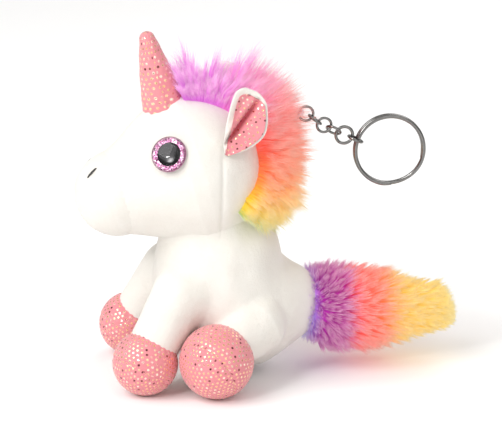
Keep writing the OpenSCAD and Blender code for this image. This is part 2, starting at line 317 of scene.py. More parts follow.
def round_angles(sides):
    return 2 * math.pi * np.arange(sides) / sides


def around(angles, first, second):
    """Unit steps at those angles in the plane of two directions."""
    return np.cos(angles)[:, None] * first + np.sin(angles)[:, None] * second


def across(axes):
    """Two unit vectors square to each axis and to each other."""
    axes = unit(axes)
    helper = np.where(np.abs(axes[..., 2:]) < 0.9, [0, 0, 1.0], [0, 1.0, 0])
    first = unit(np.cross(helper, axes))
    return first, np.cross(axes, first)


def tube(path, radius, sides=16, closed=False):
    """Points and faces of a round tube along a path. radius may differ from ring to ring."""
    path = np.asarray(path, float)
    count = len(path)
    radius = np.broadcast_to(radius, (count,))
    if closed:
        heading = unit(np.roll(path, -1, 0) - np.roll(path, 1, 0))
    else:
        heading = unit(np.gradient(path, axis=0))
    first, second = np.zeros((count, 3)), np.zeros((count, 3))
    first[0], second[0] = across(heading[0])
    for i in range(1, count):
        first[i] = unit(first[i - 1] - heading[i] * (first[i - 1] @ heading[i]))
        second[i] = np.cross(heading[i], first[i])
    rim = around(round_angles(sides), first[:, None], second[:, None])
    rings = path[:, None] + radius[:, None, None] * rim
    faces = grid_faces(count, sides)
    if closed:
        start = rings[0]
        shift = int(np.argmin(length(start - rings[-1][0])))
        last = (count - 1) * sides
        faces += [
            (last + s, last + (s + 1) % sides, (s + 1 + shift) % sides, (s + shift) % sides)
            for s in range(sides)
        ]
    else:
        faces += end_faces(count, sides)
    return rings.reshape(-1, 3), faces


def joined(parts):
    """One list of points and one of faces from several."""
    points, faces, start = [], [], 0
    for part_points, part_faces in parts:
        points.append(np.asarray(part_points, float))
        faces += [tuple(int(i) + start for i in f) for f in part_faces]
        start += len(part_points)
    return np.concatenate(points), faces


# ---- Materials ----

class Nodes:
    """A short way to build one material's nodes."""

    def __init__(self, name):
        self.material = bpy.data.materials.new(name)
        self.material.use_nodes = True
        self.tree = self.material.node_tree
        self.shader = self.tree.nodes["Principled BSDF"]

    def add(self, kind, inputs=None, **settings):
        node = self.tree.nodes.new(kind)
        for key, value in settings.items():
            setattr(node, key, value)
        for key, value in (inputs or {}).items():
            self.put(node.inputs[key], value)
        return node

    def put(self, socket, value):
        """Links the value if it is another node's output, and otherwise sets it."""
        if isinstance(value, bpy.types.NodeSocket):
            self.tree.links.new(value, socket)
        else:
            socket.default_value = value

    def maths(self, operation, *values):
        return self.add("ShaderNodeMath", dict(enumerate(values)), operation=operation).outputs[0]

    def mix(self, share, first, second):
        return self.add("ShaderNodeMix", {0: share, 6: first, 7: second}, data_type="RGBA").outputs[2]

    def place(self):
        return self.add("ShaderNodeTexCoord").outputs["Object"]

    def point_value(self, name):
        return self.add("ShaderNodeAttribute", attribute_name=name).outputs["Fac"]

    def ramp(self, share, stops):
        node = self.add("ShaderNodeValToRGB", {0: share})
        band = node.color_ramp
        while len(band.elements) < len(stops):
            band.elements.new(1)
        for element, (place, colour) in zip(band.elements, stops):
            element.position, element.color = place, colour
        return node.outputs[0]

    def noise(self, scale, detail=3, roughness=0.5):
        inputs = {"Vector": self.place(), "Scale": scale, "Detail": detail, "Roughness": roughness}
        return self.add("ShaderNodeTexNoise", inputs).outputs[0]

    def bump(self, height, strength, distance, normal=None):
        inputs = {"Height": height, "Strength": strength, "Distance": distance}
        if normal is not None:
            inputs["Normal"] = normal
        return self.add("ShaderNodeBump", inputs).outputs[0]

    def set(self, **values):
        for key, value in values.items():
            self.put(self.shader.inputs[key.replace("_", " ")], value)
        return self.material


def rgb(red, green, blue):
    """A linear colour from display values of 0 to 255."""
    straight = [(v / 255 / 12.92) if v <= 10 else ((v / 255 + 0.055) / 1.055) ** 2.4
                for v in (red, green, blue)]
    return (*straight, 1.0)


def white_plush():
    """Short-pile plush: a warm white with a soft sheen and a fine nap."""
    n = Nodes("white_plush")
    patches = n.noise(130, 2)
    nap = n.noise(1500, 4, 0.7)
    tone = n.mix(n.maths("MULTIPLY", patches, 0.7), rgb(232, 230, 224), rgb(226, 221, 212))
    colour = n.mix(n.maths("MULTIPLY", nap, 0.25), tone, rgb(214, 206, 197))
    fine = n.bump(nap, 0.35, 0.0004)
    soft = n.bump(n.noise(420, 3), 0.25, 0.0009, fine)
    return n.set(Base_Color=colour, Roughness=0.95, Normal=soft, Sheen_Weight=0.35,
                 Sheen_Roughness=0.45, Specular_IOR_Level=0.15)


def foil_fabric(name, pitch, dot, painted_dark_reflection_share):
    """Pink knitted fabric printed with rows of small mirror-foil dots."""
    n = Nodes(name)
    place = n.add("ShaderNodeUVMap", uv_map="cloth").outputs[0]
    split = n.add("ShaderNodeSeparateXYZ", {0: place})
    row_height = pitch * MM * math.sqrt(3) / 2
    rows = n.maths("DIVIDE", split.outputs[1], row_height)
    row = n.maths("FLOOR", rows)
    shift = n.maths("MULTIPLY", n.maths("MODULO", row, 2.0), 0.5)
    columns = n.maths("ADD", n.maths("DIVIDE", split.outputs[0], pitch * MM), shift)
    column = n.maths("FLOOR", columns)
    x = n.maths("SUBTRACT", n.maths("SUBTRACT", columns, column), 0.5)
    y = n.maths("MULTIPLY", n.maths("SUBTRACT", n.maths("SUBTRACT", rows, row), 0.5), math.sqrt(3) / 2)
    away = n.maths("SQRT", n.maths("ADD", n.maths("MULTIPLY", x, x), n.maths("MULTIPLY", y, y)))
    edge = n.add("ShaderNodeMapRange", {0: away, 1: dot * 0.5, 2: dot * 0.38, 3: 0.0, 4: 1.0})
    cell = n.add("ShaderNodeCombineXYZ", {0: column, 1: row})
    chance = n.add("ShaderNodeTexWhiteNoise", {0: cell.outputs[0]}, noise_dimensions="3D")
    lot = n.add("ShaderNodeSeparateColor", {0: chance.outputs[1]})
    present = n.maths("LESS_THAN", lot.outputs[1], 0.93)
    foil = n.maths("MULTIPLY", edge.outputs[0], present)
    # Each dot's foil tint, at random: gold to pale peach, and for the darkest share of dots a painted dark
    # reflection, standing for mirror foil that catches dark surroundings
    tint = n.ramp(lot.outputs[0], [
        (0.0, rgb(124, 62, 68)), (painted_dark_reflection_share, rgb(150, 90, 84)), (painted_dark_reflection_share + 0.04, rgb(240, 186, 152)),
        (0.5, rgb(250, 208, 164)), (0.7, rgb(255, 232, 214)), (0.85, rgb(240, 170, 164)),
        (1.0, rgb(252, 206, 146)),
    ])
    knit = n.noise(2600, 2)
    patches = n.noise(160, 3)
    cloth = n.mix(patches, rgb(230, 150, 154), rgb(220, 132, 140))
    cloth = n.mix(n.maths("MULTIPLY", knit, 0.35), cloth, rgb(208, 112, 124))
    colour = n.mix(foil, cloth, tint)
    # Painted shade: along the ear lining's pinched fold the colour turns deep crimson, standing for the shade in
    # the fold
    colour = n.mix(n.maths("MULTIPLY", n.point_value("crease"), 0.75), colour, rgb(196, 44, 74))
    rough = n.maths("SUBTRACT", 0.85, n.maths("MULTIPLY", foil, 0.6))
    raised = n.bump(foil, 0.35, 0.00015, n.bump(knit, 0.3, 0.0002))
    tilted = n.bump(n.noise(900, 1), 0.35, 0.0006, raised)
    return n.set(Base_Color=colour, Roughness=rough, Metallic=n.maths("MULTIPLY", foil, 0.9),
                 Normal=tilted, Sheen_Weight=0.25, Sheen_Roughness=0.5)


def fur(name, bands):
    """Dyed faux fur. "band" runs along the strip, "along" from root to tip of each hair."""
    n = Nodes(name)
    band, along, shade = (n.point_value(name) for name in ("band", "along", "shade"))
    dyed = n.ramp(band, [(place, rgb(*colour)) for place, colour in bands])
    pale = n.mix(0.58, dyed, rgb(255, 242, 230))
    lift = n.add("ShaderNodeMapRange", {0: along, 1: 0.4, 2: 1.0, 3: 0.0, 4: 0.9})
    colour = n.mix(lift.outputs[0], dyed, pale)
    colour = n.mix(n.maths("MULTIPLY", shade, 0.15), colour, pale)
    # Painted glow: each hair also emits its own colour, though it is no lamp
    return n.set(Base_Color=colour, Roughness=0.8, Specular_IOR_Level=0.1, Sheen_Weight=0.06,
                 Sheen_Roughness=0.5, Emission_Color=colour, Emission_Strength=FUR_PAINTED_GLOW)


def metal(name, tone):
    """Nickel-plated wire: bright, with faint drawing marks."""
    n = Nodes(name)
    marks = n.noise(700, 3, 0.6)
    colour = n.mix(marks, rgb(*tone), rgb(*(int(v * 0.78) for v in tone)))
    rough = n.add("ShaderNodeMapRange", {0: n.noise(1900, 2), 3: 0.12, 4: 0.3})
    return n.set(Base_Color=colour, Metallic=1.0, Roughness=rough.outputs[0],
                 Normal=n.bump(marks, 0.08, 0.0001))


def glitter():
    """The eye's disc: pink and violet flakes under clear plastic."""
    n = Nodes("eye_glitter")
    flakes = n.add("ShaderNodeTexVoronoi", {"Vector": n.place(), "Scale": 3000.0})
    pick = n.add("ShaderNodeSeparateColor", {0: flakes.outputs["Color"]})
    colour = n.ramp(pick.outputs[0], [
        (0.0, rgb(64, 34, 60)), (0.3, rgb(136, 74, 112)), (0.55, rgb(182, 106, 148)),
        (0.8, rgb(214, 158, 190)), (1.0, rgb(250, 232, 240)),
    ])
    shine = n.maths("GREATER_THAN", pick.outputs[1], 0.45)
    rough = n.maths("SUBTRACT", 0.6, n.maths("MULTIPLY", shine, 0.35))
    return n.set(Base_Color=colour, Metallic=n.maths("MULTIPLY", shine, 0.7), Roughness=rough,
                 Normal=n.bump(pick.outputs[2], 0.6, 0.0001))


def gloss(name, colour, noise_scale=300, roughness=0.08):
    """A moulded gloss plastic with a slight unevenness."""
    n = Nodes(name)
    uneven = n.noise(noise_scale, 2)
    tone = n.mix(n.maths("MULTIPLY", uneven, 0.4), colour, tuple(min(1, v * 1.6) for v in colour))
    rough = n.add("ShaderNodeMapRange", {0: uneven, 3: roughness * 0.7, 4: roughness * 1.4})
    return n.set(Base_Color=tone, Roughness=rough.outputs[0], Specular_IOR_Level=0.25)


def clear_dome():
    """A clear cap: seen through straight on, and mirror-like at a glancing angle."""
    n = Nodes("eye_dome")
    gloss_part = n.add("ShaderNodeBsdfGlossy", {"Color": (1, 1, 1, 1), "Roughness": 0.03})
    clear = n.add("ShaderNodeBsdfTransparent", {"Color": (0.98, 0.97, 0.98, 1)})
    edge = n.add("ShaderNodeFresnel", {"IOR": 1.36})
    share = n.maths("MULTIPLY", edge.outputs[0], 0.7)
    mixed = n.add("ShaderNodeMixShader", {0: share, 1: clear.outputs[0], 2: gloss_part.outputs[0]})
    n.tree.nodes.remove(n.shader)
    n.tree.links.new(mixed.outputs[0], n.tree.nodes["Material Output"].inputs[0])
    return n.material


def thread(name, colour):
    """Twisted satin thread, seen as fine slanting plies."""
    n = Nodes(name)
    plies = n.add("ShaderNodeTexWave", {"Vector": n.place(), "Scale": 900.0, "Distortion": 1.5},
                  bands_direction="DIAGONAL")
    tone = n.mix(plies.outputs[1], colour, tuple(min(1, v * 2 + 0.01) for v in colour))
    return n.set(Base_Color=tone, Roughness=0.45, Sheen_Weight=0.3,
                 Normal=n.bump(plies.outputs[1], 0.5, 0.0001))


# Painted glow: the fur gives off light of its own colour, standing for light that passes through the fine hairs
# from behind
FUR_PAINTED_GLOW = 0.2

MANE_BANDS = [
    (0.0, (224, 126, 226)), (0.18, (232, 130, 228)), (0.33, (246, 128, 196)), (0.42, (252, 118, 128)),
    (0.55, (255, 110, 78)), (0.68, (255, 140, 72)), (0.77, (255, 178, 52)), (0.85, (250, 208, 46)),
    (0.95, (240, 218, 62)), (1.0, (186, 208, 140)),
]
TAIL_BANDS = [
    (0.0, (176, 180, 230)), (0.05, (176, 120, 208)), (0.1, (190, 60, 178)), (0.27, (206, 68, 174)),
    (0.33, (255, 96, 104)), (0.45, (255, 122, 86)), (0.51, (255, 172, 66)), (0.58, (255, 214, 66)),
    (0.85, (255, 222, 60)), (1.0, (255, 236, 130)),
]

PLUSH = white_plush()
HOOF_CLOTH = foil_fabric("hoof_fabric", 1.65, 0.56, 0.05)
HORN_CLOTH = foil_fabric("horn_fabric", 1.9, 0.54, 0.08)
EAR_CLOTH = foil_fabric("ear_fabric", 1.7, 0.44, 0.3)
MANE_FUR = fur("mane_fur", MANE_BANDS)
TAIL_FUR = fur("tail_fur", TAIL_BANDS)
STEEL = metal("chain_steel", (142, 141, 139))
GLITTER = glitter()
PUPIL = gloss("eye_pupil", rgb(12, 12, 14), roughness=0.13)
RIM = gloss("eye_rim", rgb(172, 112, 144))
DOME = clear_dome()
BLACK_THREAD = thread("black_thread", rgb(20, 18, 18))
LOOP_CORD = thread("loop_ribbon", rgb(214, 190, 222))


# ---- Trunk and legs ----

def leg_line(kind, side):
    """Pivot, direction, and distance from pivot to hoof centre of one leg."""
    pivot = joint_point(f"{kind}_{side_word(side)}_leg_swing")
    reach = mirrored(LEGS[kind]["hoof"], side) - pivot
    return pivot, unit(reach), np.linalg.norm(reach)


def ankle_height(kind, side):
    hoof_r = LEGS[kind]["hoof_r"]
    return leg_line(kind, side)[2] - math.sqrt(hoof_r**2 - ANKLE_R**2)


def leg_field(p, kind, side):
    pivot, heading, _ = leg_line(kind, side)
    end = pivot + heading * (ankle_height(kind, side) + 1)
    return taper(p, pivot, end, LEGS[kind]["root"], ANKLE_R - 0.5)


def trunk_field(p):
    d = None
    for (y, z, r), (next_y, next_z, next_r) in zip(TRUNK, TRUNK[1:]):
        part = taper(p, (0, y, z), (0, next_y, next_z), r, next_r)
        d = part if d is None else melt(d, part, 3.0)
    d = melt(d, ball(p, TAIL_ROOT + [0, -3, 1.5], 9.5), 6.0)
    return d


# How far the neck's edge reaches under the head's surface
NECK_TUCK = 1.2


def skin_field(p):
    trunk = trunk_field(p)
    d = None
    for kind, leg in LEGS.items():
        for side in (LEFT, RIGHT):
            limb = melt(trunk, leg_field(p, kind, side), leg["soft"])
            d = limb if d is None else melt(d, limb, 0.8)
    d = d + 0.18 * waves(p, 3, 9.0)
    d = carve(d, p[..., 2] - 1.0, 1.0)
    tucked = head_field(p) + NECK_TUCK
    return np.maximum(melt(d, tucked, 5.0) + 0.1, -tucked)


def in_leg(p, kind, side):
    """True where a point of the skin belongs to the leg and not to the trunk."""
    pivot, heading, _ = leg_line(kind, side)
    past = (p - pivot) @ heading - LEGS[kind]["from"]
    other = leg_field(p, "hind" if kind == "front" else "front", side)
    nearest = np.minimum(trunk_field(p), other)
    return (past > 0) & (leg_field(p, kind, side) < nearest) & (p[..., 0] * side > 0)


def hip(kind, side):
    """Where the leg's line leaves the trunk."""
    pivot, heading, reach = leg_line(kind, side)
    line = pivot + heading * np.linspace(0, reach, 200)[:, None]
    return line[np.argmax(trunk_field(line) > 0)]


def body_and_legs(step):
    low, high = np.array([-42, -60, -1]), np.array([42, 28, 60])
    points, quads = surface(skin_field, low, high, step)
    normals = unit(gradient(skin_field, points))
    sides = [(kind, side) for kind in LEGS for side in (LEFT, RIGHT)]
    hubs = np.array([hip(*leg) for leg in sides])

    body_points, body_faces, _ = kept(
        quads, points, lambda c: ~np.any([in_leg(c, *leg) for leg in sides], axis=0), hubs)
    body_normals = np.vstack([normals, unit(gradient(trunk_field, hubs))])
    body = piece("torso_skin", body_points, body_faces, PLUSH, "white_plush", body_normals)
    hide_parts("torso_cover", "torso_filling")
    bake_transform(body)

    for kind, side in sides:
        word = f"{kind}_{side_word(side)}_leg"
        hub = hip(kind, side)
        leg_points, leg_faces, rim = kept(quads, points, lambda c: in_leg(c, kind, side), [hub])
        leg_normals = np.vstack([normals, -unit(gradient(trunk_field, hub))])
        leg = piece(f"{word}_skin", leg_points, leg_faces, PLUSH, "white_plush", leg_normals)
        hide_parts(f"{word}_cover", f"{word}_filling")
        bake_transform(leg)
        hoof(kind, side, word)


def hoof(kind, side, word):
    """A stuffed ball of foil fabric: a side panel from the ankle seam, and a sole.

    Polar angles run from the leg's own axis (0) to the middle of the sole (pi).
    """
    pivot, heading, distance = leg_line(kind, side)
    centre, radius = pivot + heading * distance, LEGS[kind]["hoof_r"]
    ankle = math.asin(ANKLE_R / radius)
    top = 0.92 * ankle
    sole = math.pi - math.acos(LEGS[kind]["sole"])
    panel_r = 0.92 * radius
    rings, sides = 96, 128
    angles = round_angles(sides)
    rim = around(angles, *across(heading))
    polars = np.linspace(top, math.pi * 0.999, rings)
    points = [np.tile(centre - math.cos(top) * radius * heading, (sides, 1))]
    cloth = [np.stack([angles * panel_r, np.zeros(sides)], 1)]
    for polar in polars:
        r = radius * (1 - groove(polar - sole, 0.028, 0.045)) * (1 - groove(polar - ankle, 0.02, 0.07))
        pucker = np.cos(26 * angles) * groove(polar - ankle, 0.1, 0.16)
        pucker += np.cos(34 * angles) * groove(polar - sole, 0.07, 0.12)
        reach = (r + pucker)[:, None]
        points.append(centre + reach * (math.sin(polar) * rim - math.cos(polar) * heading))
        if polar < sole:
            cloth.append(np.stack([angles * panel_r, np.full(sides, polar * radius)], 1))
        else:
            flat = np.stack([np.cos(angles), np.sin(angles)], 1)
            cloth.append((math.pi - polar) * radius * flat + SOLE_SHIFT)
    points, cloth = np.concatenate(points), np.concatenate(cloth)
    low = points[:, 2] < HOOF_REST
    points[low, 2] = HOOF_REST + (points[low, 2] - HOOF_REST) * 0.15
    faces = grid_faces(rings + 1, sides)
    made = piece(f"{word[:-4]}_hoof", points, faces, HOOF_CLOTH, "pink_foil_fabric")
    flat_from = 1 + int(np.searchsorted(polars, sole))
    cloth_layer(made, faces, cloth, sides, 2 * math.pi * panel_r, flat_from)
    weld(made)
    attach(made, word)
    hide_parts(f"{word[:-4]}_hoof_cover")


def cloth_layer(made, faces, cloth, sides, turn, flat_from):
    """Each corner's place on flat cloth, so that no pattern smears across a panel's own seam.

    The side panel is turn wide, and any flat sole starts at the row flat_from. Faces beyond the
    given ones stay at the cloth's corner.
    """
    layer = made.data.uv_layers.new(name="cloth")
    corner = np.array(faces)
    values = cloth[corner]
    wraps = (corner % sides == 0) & ((corner % sides).max(1) == sides - 1)[:, None]
    row = corner // sides
    side_panel = (row.max(1) < flat_from)[:, None]
    values[..., 0] += turn * (wraps & side_panel)
    crossing = (row.max(1) >= flat_from) & (row.min(1) < flat_from)
    values[crossing] = cloth[corner[crossing]][:, :1]
    places = np.zeros((len(made.data.loops), 2))
    places[:corner.size] = values.reshape(-1, 2)
    layer.data.foreach_set("uv", (places * MM).astype(np.float32).ravel())


def weld(made):
    """Joins points that lie on each other, as at a pole."""
    shape = bmesh.new()
    shape.from_mesh(made.data)
    bmesh.ops.remove_doubles(shape, verts=shape.verts, dist=1e-6)
    shape.to_mesh(made.data)
    shape.free()


def underside(across_x, along_y):
    """Height of the trunk's lowest surface above each place."""
    heights = np.arange(0.5, 30, 0.1)
    x, y = (np.repeat(v[:, None], len(heights), 1) for v in (across_x, along_y))
    inside = skin_field(np.stack([x, y, np.broadcast_to(heights, x.shape)], -1)) < 0
    return heights[inside.argmax(1)]


def belly_panel():
    """The seamed panel under the trunk, puffed slightly by the filling."""
    low, high = box_of("belly_panel")
    centre, radius = (low + high) / 2 - [0, 2.5, 0], (high[0] - low[0]) / 2 * 0.7
    rings, sides = 14, 96
    puff, buried = 0.6, 0.7
    angles = round_angles(sides)
    shares = np.linspace(0.02, 1, rings)
    points = []
    for outer, share in [*((True, s) for s in shares), *((False, s) for s in shares[::-1])]:
        wave = 1 + 0.008 * np.cos(30 * angles) * share**4
        x = centre[0] + radius * share * wave * np.cos(angles)
        y = centre[1] + radius * share * wave * np.sin(angles)
        crown = puff * math.sqrt(1 - share**6)
        z = underside(x, y) + (0.1 - crown if outer else buried)
        points.append(np.stack([x, y, np.maximum(z, 0.1)], 1))
    rows = len(points)
    faces = [f[::-1] for f in grid_faces(rows, sides) + end_faces(rows, sides)]
    made = piece("belly_patch", np.concatenate(points), faces, PLUSH, "white_plush")
    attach(made, "torso")
    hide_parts("belly_panel")


# ---- Head ----

def eye_place(side):
    """Centre of the eye's disc and the way the eye faces."""
    disc = middle(f"{side_word(side)}_eye_glitter_disc")
    return disc, unit(disc - SKULL)


# The forehead swells in front of the horn
BROW = np.array([0, -43, 90])
NOSTRIL_DENT = 0.9
NOSTRIL_SPREAD = 2.2
NOSTRIL_RISE = 0.9
NOSTRIL_LENGTH = 5.2


def nostril_place(side):
    """On the muzzle, spread so that only the nearer one shows from the side, and the way out."""
    place = middle(f"{side_word(side)}_nostril_stitch")
    place = place + [NOSTRIL_SPREAD * side, 0, NOSTRIL_RISE]
    for _ in range(3):
        out = unit(gradient(head_ball, place))
        place = place - head_ball(place) * out
    return place, out


def head_ball(p):
    d = None
    for side in (LEFT, RIGHT):
        cone = taper(p, SKULL, MUZZLE + [MUZZLE_SPREAD * side, 0, 0], HEAD_R, MUZZLE_R)
        d = cone if d is None else melt(d, cone, 3.0) + 0.35
    return d


def head_field(p):
    d = head_ball(p)
    for side in (LEFT, RIGHT):
        centre, facing = eye_place(side)
        out = (p - centre) @ facing
        away = length(p - centre - out[..., None] * facing)
        d = d + groove(length(p - centre), 0.55, 8.5)
        socket = np.maximum(away - 6.0, -0.2 - out)
        d = carve(d, socket, 0.45)
        d = d + groove(length(p - ear_foot(side)), 0.5, 4.0)
        d = d + groove(length(p - nostril_place(side)[0]), NOSTRIL_DENT, 2.8)
    for centre, lift in ((HORN_BASE, 2.4), (BROW, 2.3)):
        d = d - groove(length(p - centre), lift, 9.2)
    seam = (p[..., 1] + 17.2) + 0.9 * np.cos((p[..., 2] - 66) / 14)
    below_ear = 1 / (1 + np.exp((p[..., 2] - 81) / 1.2))
    d = d + groove(seam, 0.42, 0.75) * below_ear - groove(seam - 2.6, 0.16, 1.8) * below_ear
    return d + 0.14 * waves(p, 8, 11.0)


def head(step):
    points, quads = surface(head_field, (-27, -68, 43), (27, 3, 98), step)
    normals = unit(gradient(head_field, points))
    made = piece("head_skin", points, quads.tolist(), PLUSH, "white_plush", normals)
    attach(made, "head")
    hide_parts("head_cover", "head_filling")


def horn():
    """A cone of foil fabric, gathered where it is sewn on."""
    sunk, tip_height, cloth_r = 2.5, 1.8, 5.0
    rows, sides = 91, 120
    angles = round_angles(sides)
    rim = around(angles, *across(HORN_HEADING))
    points, cloth = [], []
    for t in np.linspace(0, 1, rows):
        h = -sunk + (HORN_HEIGHT + sunk) * t
        share = max(h, 0) / HORN_HEIGHT
        cap = max(0, (h - (HORN_HEIGHT - tip_height)) / tip_height)
        r = HORN_BASE_R + (HORN_TIP_R - HORN_BASE_R) * share + 0.5 * math.sin(math.pi * share)
        r = r * math.sqrt(max(0.0004, 1 - cap**2))
        folds = 0.16 * np.cos(9 * angles + 4 * share) * math.exp(-share * 2.2)
        folds += 0.12 * np.cos(15 * angles - 1 + 9 * share) * math.exp(-share * 5)
        folds += 0.07 * np.sin(h * 0.9 + 2 * np.sin(angles)) * (1 - cap) * min(1, t * 5)
        wide = r + folds * (1 - cap) * min(1, r / 3)
        points.append(HORN_BASE + h * HORN_HEADING + wide[:, None] * rim)
        cloth.append(np.stack([angles * cloth_r, np.full(sides, h)], 1))
    quads = grid_faces(rows, sides)
    faces = quads + end_faces(rows, sides)
    made = piece("horn", np.concatenate(points), faces, HORN_CLOTH, "pink_foil_fabric")
    cloth_layer(made, quads, np.concatenate(cloth), sides, 2 * math.pi * cloth_r, rows)
    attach(made, "head")
    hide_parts("horn_cover", "horn_filling")


def nostrils():
    """Each nostril is one satin stitch of two strands, sunk at both ends."""
    gap, strand_r = 0.3, 0.22
    for side in (LEFT, RIGHT):
        word = side_word(side)
        place, out = nostril_place(side)
        slant = np.array([0, -8.3, -11.4])
        heading = unit(slant - (slant @ out) * out)
        beside = np.cross(heading, out)
        s = np.linspace(-1, 1, 18)
        raised = 0.35 - 0.75 * s**4 - (NOSTRIL_DENT - 0.2)
        strands = []
        for k in (-0.5, 0.5):
            path = place + np.outer(s * NOSTRIL_LENGTH / 2, heading) + np.outer(raised, out)
            path = path + np.outer(k * gap * (1 - s**4), beside)
            strands.append(tube(path, strand_r * (1 - 0.5 * s**6), 10))
        made = piece(f"{word}_nostril", *joined(strands), BLACK_THREAD, "black_thread")
        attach(made, "head")
        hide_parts(f"{word}_nostril_stitch")


def turned(profile, centre, facing, sides=96, capped=True):
    """A shape turned about an axis. The profile is a list of (radius, height)."""
    rim = around(round_angles(sides), *across(facing))
    points = np.concatenate([centre + h * facing + r * rim for r, h in profile])
    faces = grid_faces(len(profile), sides)
    if capped:
        faces += end_faces(len(profile), sides)
    return points, faces


EYE_R = 5.9
PUPIL_R = 4.0
DOME_HEIGHT = 2.7


def eyes():
    """Outwards from the head: a glitter disc with its rim, a black pupil and a clear dome."""
    quarter = np.linspace(0, math.pi / 2, 10)
    disc_r = EYE_R - 0.3
    disc = [(0.05, 0.0), (disc_r, 0.0), (disc_r, 0.5), (0.05, 0.5)]
    rim = [(EYE_R - 0.04 + 0.13 * math.cos(a), 0.42 + 0.3 * math.sin(a))
           for a in np.linspace(0, 2 * math.pi, 25)]
    pupil = [(PUPIL_R, 0.4), *((PUPIL_R * math.cos(a) + 0.01, 0.6 + 0.5 * math.sin(a)) for a in quarter)]
    dome = [(EYE_R, 0.45)]
    for a in np.linspace(0, math.pi / 2, 28):
        dome.append(((EYE_R + 0.01) * math.cos(a) ** 0.85 + 0.01, 0.6 + DOME_HEIGHT * math.sin(a)))

    for side in (LEFT, RIGHT):
        word = side_word(side)
        disc_centre, facing = eye_place(side)
        back = disc_centre - 0.25 * facing

        made = piece(f"{word}_eye_glitter", *turned(disc, back, facing), GLITTER, "eye_glitter")
        made.data.polygons.foreach_set("use_smooth", np.zeros(len(made.data.polygons), bool))
        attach(made, "head")
        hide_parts(f"{word}_eye_glitter_disc", f"{word}_eye_post", f"{word}_eye_washer")

        ring = turned(rim, back, facing, capped=False)
        made = piece(f"{word}_eye_rim", *ring, RIM, "eye_glitter")
        weld(made)
        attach(made, "head")

        made = piece(f"{word}_eye_black", *turned(pupil, back, facing), PUPIL, "eye_pupil")
        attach(made, "head")
        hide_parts(f"{word}_eye_pupil")

        made = piece(f"{word}_eye_cap", *turned(dome, back, facing, 128), DOME, "eye_dome")
        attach(made, "head")
        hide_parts(f"{word}_eye_dome")


# ---- Ears ----

EAR_LENGTH = 23.7


def ear_foot(side):
    return joint_point(f"{side_word(side)}_ear_flop")


def ear_axes(side):
    """The ear's own back, up and out directions."""
    tilt_x, tilt_y = math.radians(-22), math.radians(-9)
    back = np.array([0.0, 1, 0])
    up = np.array([0.0, 0, 1])
    out = np.array([1.0, 0, 0])
    turn_x = np.array([[1, 0, 0], [0, math.cos(tilt_x), -math.sin(tilt_x)],
                       [0, math.sin(tilt_x), math.cos(tilt_x)]])
    turn_y = np.array([[math.cos(tilt_y), 0, math.sin(tilt_y)], [0, 1, 0],
                       [-math.sin(tilt_y), 0, math.cos(tilt_y)]])
    turn = turn_y @ turn_x
    return [mirrored(turn @ v, side) for v in (back, up, out)]


def ear_widths(t):
    """How far the leaf reaches forward and back of its axis, at a height from 0 to 1."""
    forward = through(t, [0, 0.25, 0.5, 0.78, 1], [0.3, 2.8, 4.0, 4.6, 4.2])
    back = through(t, [0, 0.155, 0.32, 0.45, 0.63, 0.82, 1], [0.3, 4.8, 8.0, 9.3, 8.9, 7.2, 5.4])
    tip = rounded(t, 0.84)
    return forward * tip + 0.05, back * tip + 0.05


def ear_fold(offset, t):
    """Distance across from the pinched fold, and how strong the fold is at that height."""
    fold_at = -0.8 + 7.0 * (t - 0.26)
    return offset - fold_at, math.sin(math.pi * min(1, max(0, (t - 0.08) / 0.84))) ** 0.6


def ear_middle(offset, a, t):
    """Height of the ear's middle layer over its flat: cupped, with one deep pinch."""
    from_fold, reach = ear_fold(offset, t)
    pinch = groove(from_fold, 3.3, 0.95) * reach
    lip = groove(from_fold + 1.9, 0.9, 1.3) * reach
    cup = 1.6 * a**2 * math.sin(math.pi * t) ** 0.5
    return cup - pinch + lip + 0.6 * math.sin(math.pi * t) - (1 - t) ** 3


def ear_sheet(side, front_border, back_border, thick, lift, crown):
    """A closed cushion-like sheet over the ear's leaf, inside the given borders."""
    back, up, out = ear_axes(side)
    foot = ear_foot(side) - [0, 1.0, 0]
    rows, columns = 48, 48
    top = 0.988 - front_border / EAR_LENGTH
    fronts, backs, flats, creases = [], [], [], []
    for i in range(rows + 1):
        share = i / rows
        at = 0.012 + (top - 0.012) * share
        forward, backward = ear_widths(at)
        closing = rounded(share, 0.9) if front_border else 1
        forward = max(0.1, forward - front_border * min(1, at * 4)) * closing
        backward = max(0.1, backward - back_border * min(1, at * 4)) * closing
        for j in range(columns + 1):
            a = math.sin(math.pi / 2 * (2 * j / columns - 1))
            offset = a * (backward if a > 0 else forward)
            edge = math.sqrt(max(0, 1 - a**2)) * math.sqrt(max(0, 1 - (2 * share - 1) ** 6))
            mid = ear_middle(offset, a, at) + lift
            place = foot + offset * back + (at * EAR_LENGTH) * up
            fronts.append(place + (mid + thick * (edge ** crown)) * out)
            backs.append(place + (mid - thick * (edge ** crown)) * out)
            flats.append((offset, at * EAR_LENGTH))
            # Painted shade along the pinched fold, which the lining's material turns crimson
            from_fold, reach = ear_fold(offset, at)
            creases.append(groove(from_fold, 1, 0.8) * reach)
    quads = grid_faces(rows + 1, columns + 1, closed=False)
    if side == RIGHT:
        quads = [q[::-1] for q in quads]
    faces = both_sides(quads, len(fronts))
    return np.array(fronts + backs), faces, np.array(flats + flats), np.array(creases + creases)


